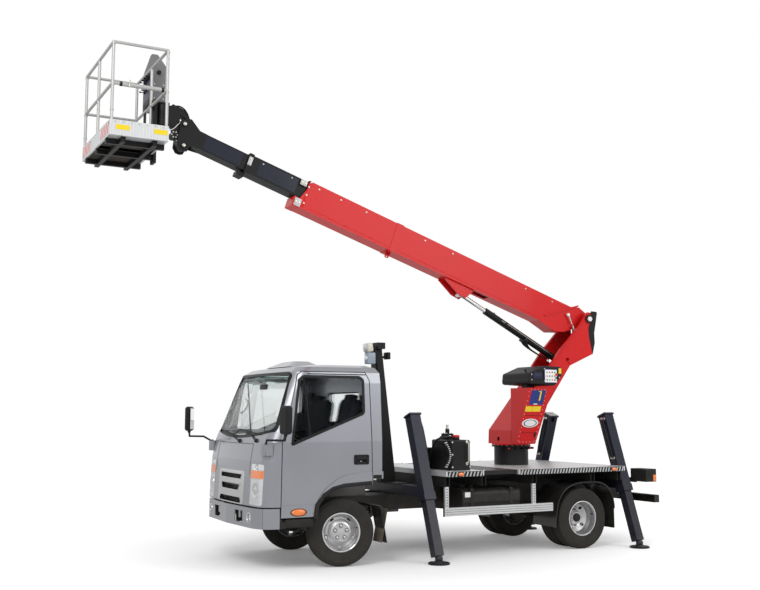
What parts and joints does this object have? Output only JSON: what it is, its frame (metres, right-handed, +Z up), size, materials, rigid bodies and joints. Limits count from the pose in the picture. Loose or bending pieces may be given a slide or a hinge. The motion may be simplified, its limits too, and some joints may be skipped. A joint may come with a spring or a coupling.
{
  "type": "cherry picker truck",
  "caption": "Light cab-over truck with a slewing telescopic boom, lift cylinder, levelled rotating work basket, leaning outrigger legs, tilting cab and opening doors.",
  "frame": {"origin": "centre of the bounding box, on the ground", "axes": "the truck's front faces -Y, its left side is +X, +Z is up; the boom lies forward over the cab"},
  "size_m": [2.65, 7.39, 6.015],
  "materials": {
    "silver_paint": "metallic paint",
    "black_steel": "semi-gloss paint",
    "blue_black_steel": "gloss paint",
    "red_paint": "gloss paint",
    "grey_steel": "plain",
    "chrome_rod": "polished",
    "bright_trim": "polished",
    "rim_metal": "painted silver",
    "tread_plate": "chequered",
    "tyre": "moulded",
    "black_plastic": "grained",
    "grey_plastic": "grained",
    "lamp_lens": "clear",
    "tail_lens": "lens",
    "glass": "tinted",
    "seat_cloth": "woven",
    "engine_iron": "as cast",
    "yellow_paint": "gloss paint"
  },
  "bodies": {
    "chassis": {"chassis_frame": "black_steel", "subframe": "black_steel", "outriggers_front": "blue_black_steel", "outriggers_rear": "blue_black_steel", "pedestal": "black_steel", "deck_plates": "tread_plate", "side_guards": "tread_plate", "fuel_tank": "black_steel", "tool_box": "black_steel", "oil_tank": "black_steel", "boom_rest": "black_steel", "front_axle": "black_steel", "rear_axle": "black_steel", "engine_block": "engine_iron", "front_bumper": "silver_paint", "cab_steps": "black_plastic", "mudguards": "black_plastic", "tail_lamps": "tail_lens", "rear_underrun": "black_steel"},
    "cab": {"cab_shell": "silver_paint", "front_panel": "silver_paint", "grille": "bright_trim", "headlamps": "lamp_lens", "cab_glass": "glass", "seats": "seat_cloth", "dashboard": "grey_plastic", "steering_wheel": "black_plastic", "mirrors": "black_plastic"},
    "door_left": {"door_left": "silver_paint", "door_glass_left": "glass"},
    "door_right": {"door_right": "silver_paint", "door_glass_right": "glass"},
    "knuckle_left": {"knuckle_left": "black_steel"},
    "knuckle_right": {"knuckle_right": "black_steel"},
    "wheel_front_left": {"rim_front_left": "rim_metal", "tyre_front_left": "tyre"},
    "wheel_front_right": {"rim_front_right": "rim_metal", "tyre_front_right": "tyre"},
    "wheels_rear_left": {"rim_rear_left": "rim_metal", "tyre_rear_left": "tyre"},
    "wheels_rear_right": {"rim_rear_right": "rim_metal", "tyre_rear_right": "tyre"},
    "turret": {"turret_column": "red_paint", "valve_box": "red_paint", "hose_cover": "black_plastic", "control_console": "black_plastic"},
    "boom": {"boom_base": "red_paint"},
    "boom_mid": {"boom_mid": "black_steel"},
    "boom_tip": {"boom_tip": "black_steel"},
    "lift_barrel": {"lift_barrel": "black_steel"},
    "lift_rod": {"lift_rod": "chrome_rod"},
    "jib": {"jib": "black_steel"},
    "basket": {"basket_tray": "tread_plate", "basket_rails": "grey_steel", "basket_frame": "black_steel", "basket_controls": "grey_plastic"},
    "leg_front_left": {"leg_front_left": "blue_black_steel"},
    "leg_front_right": {"leg_front_right": "blue_black_steel"},
    "leg_rear_left": {"leg_rear_left": "blue_black_steel"},
    "leg_rear_right": {"leg_rear_right": "blue_black_steel"}
  },
  "joints": [
    {"name": "cab_tilt", "type": "hinge", "parent": "chassis", "child": "cab", "pos_m": [0, -2.047, 0.712], "axis": [1, 0, 0], "range_deg": [0, 42]},
    {"name": "door_left_hinge", "type": "hinge", "parent": "cab", "child": "door_left", "pos_m": [0.948, -1.765, 1.2], "axis": [0, 0, -1], "range_deg": [0, 65]},
    {"name": "door_right_hinge", "type": "hinge", "parent": "cab", "child": "door_right", "pos_m": [-0.948, -1.765, 1.2], "axis": [0, 0, 1], "range_deg": [0, 65]},
    {"name": "steer_left", "type": "hinge", "parent": "chassis", "child": "knuckle_left", "pos_m": [0.65, -0.935, 0.385], "axis": [0, 0, 1], "range_deg": [-20, 46]},
    {"name": "steer_right", "type": "hinge", "parent": "chassis", "child": "knuckle_right", "pos_m": [-0.65, -0.935, 0.385], "axis": [0, 0, 1], "range_deg": [-20, 46]},
    {"name": "spin_front_left", "type": "hinge", "parent": "knuckle_left", "child": "wheel_front_left", "pos_m": [0.7815, -0.9654, 0.385], "axis": [0.9744, -0.225, 0], "continuous": true},
    {"name": "spin_front_right", "type": "hinge", "parent": "knuckle_right", "child": "wheel_front_right", "pos_m": [-0.7815, -0.9046, 0.385], "axis": [0.9744, -0.225, 0], "continuous": true},
    {"name": "spin_rear_left", "type": "hinge", "parent": "chassis", "child": "wheels_rear_left", "pos_m": [0.74, 2.43, 0.385], "axis": [1, 0, 0], "continuous": true},
    {"name": "spin_rear_right", "type": "hinge", "parent": "chassis", "child": "wheels_rear_right", "pos_m": [-0.74, 2.43, 0.385], "axis": [1, 0, 0], "continuous": true},
    {"name": "turret_slew", "type": "hinge", "parent": "chassis", "child": "turret", "pos_m": [0, 1.995, 1.3], "axis": [0, 0, 1], "range_deg": [-180, 180]},
    {"name": "boom_lift", "type": "hinge", "parent": "turret", "child": "boom", "pos_m": [0, 3.225, 3.055], "axis": [-1, 0, 0], "range_deg": [-18.8, 53.2]},
    {"name": "boom_mid_slide", "type": "slide", "parent": "boom", "child": "boom_mid", "axis": [0, -0.9466, 0.3223], "range_m": [-0.49, 3.5]},
    {"name": "boom_tip_slide", "type": "slide", "parent": "boom_mid", "child": "boom_tip", "axis": [0, -0.9466, 0.3223], "range_m": [-0.49, 3.5]},
    {"name": "lift_barrel_turn", "type": "hinge", "parent": "turret", "child": "lift_barrel", "pos_m": [0, 2.865, 2.44], "axis": [-1, 0, 0], "range_deg": [-18, 50]},
    {"name": "lift_rod_slide", "type": "slide", "parent": "lift_barrel", "child": "lift_rod", "axis": [0, -0.8843, 0.4669], "range_m": [-0.25, 0.65]},
    {"name": "jib_level", "type": "hinge", "parent": "boom_tip", "child": "jib", "pos_m": [0, -2.6951, 4.8602], "axis": [-1, 0, 0], "range_deg": [-53.2, 18.8]},
    {"name": "basket_turn", "type": "hinge", "parent": "jib", "child": "basket", "pos_m": [0, -2.925, 5.2], "axis": [0, 0, 1], "range_deg": [-90, 90]},
    {"name": "leg_front_left_slide", "type": "slide", "parent": "chassis", "child": "leg_front_left", "axis": [0.3328, 0, -0.943], "range_m": [-0.45, 0.15]},
    {"name": "leg_front_right_slide", "type": "slide", "parent": "chassis", "child": "leg_front_right", "axis": [-0.3328, 0, -0.943], "range_m": [-0.45, 0.15]},
    {"name": "leg_rear_left_slide", "type": "slide", "parent": "chassis", "child": "leg_rear_left", "axis": [0.3328, 0, -0.943], "range_m": [-0.45, 0.15]},
    {"name": "leg_rear_right_slide", "type": "slide", "parent": "chassis", "child": "leg_rear_right", "axis": [-0.3328, 0, -0.943], "range_m": [-0.45, 0.15]}
  ],
  "couplings": [
    {"joint": "steer_right", "follows": "steer_left", "ratio": 1},
    {"joint": "boom_tip_slide", "follows": "boom_mid_slide", "ratio": 1},
    {"joint": "lift_barrel_turn", "follows": "boom_lift", "ratio": 0.93},
    {"joint": "lift_rod_slide", "follows": "boom_lift", "m_per_rad": 0.65},
    {"joint": "jib_level", "follows": "boom_lift", "ratio": -1}
  ]
}
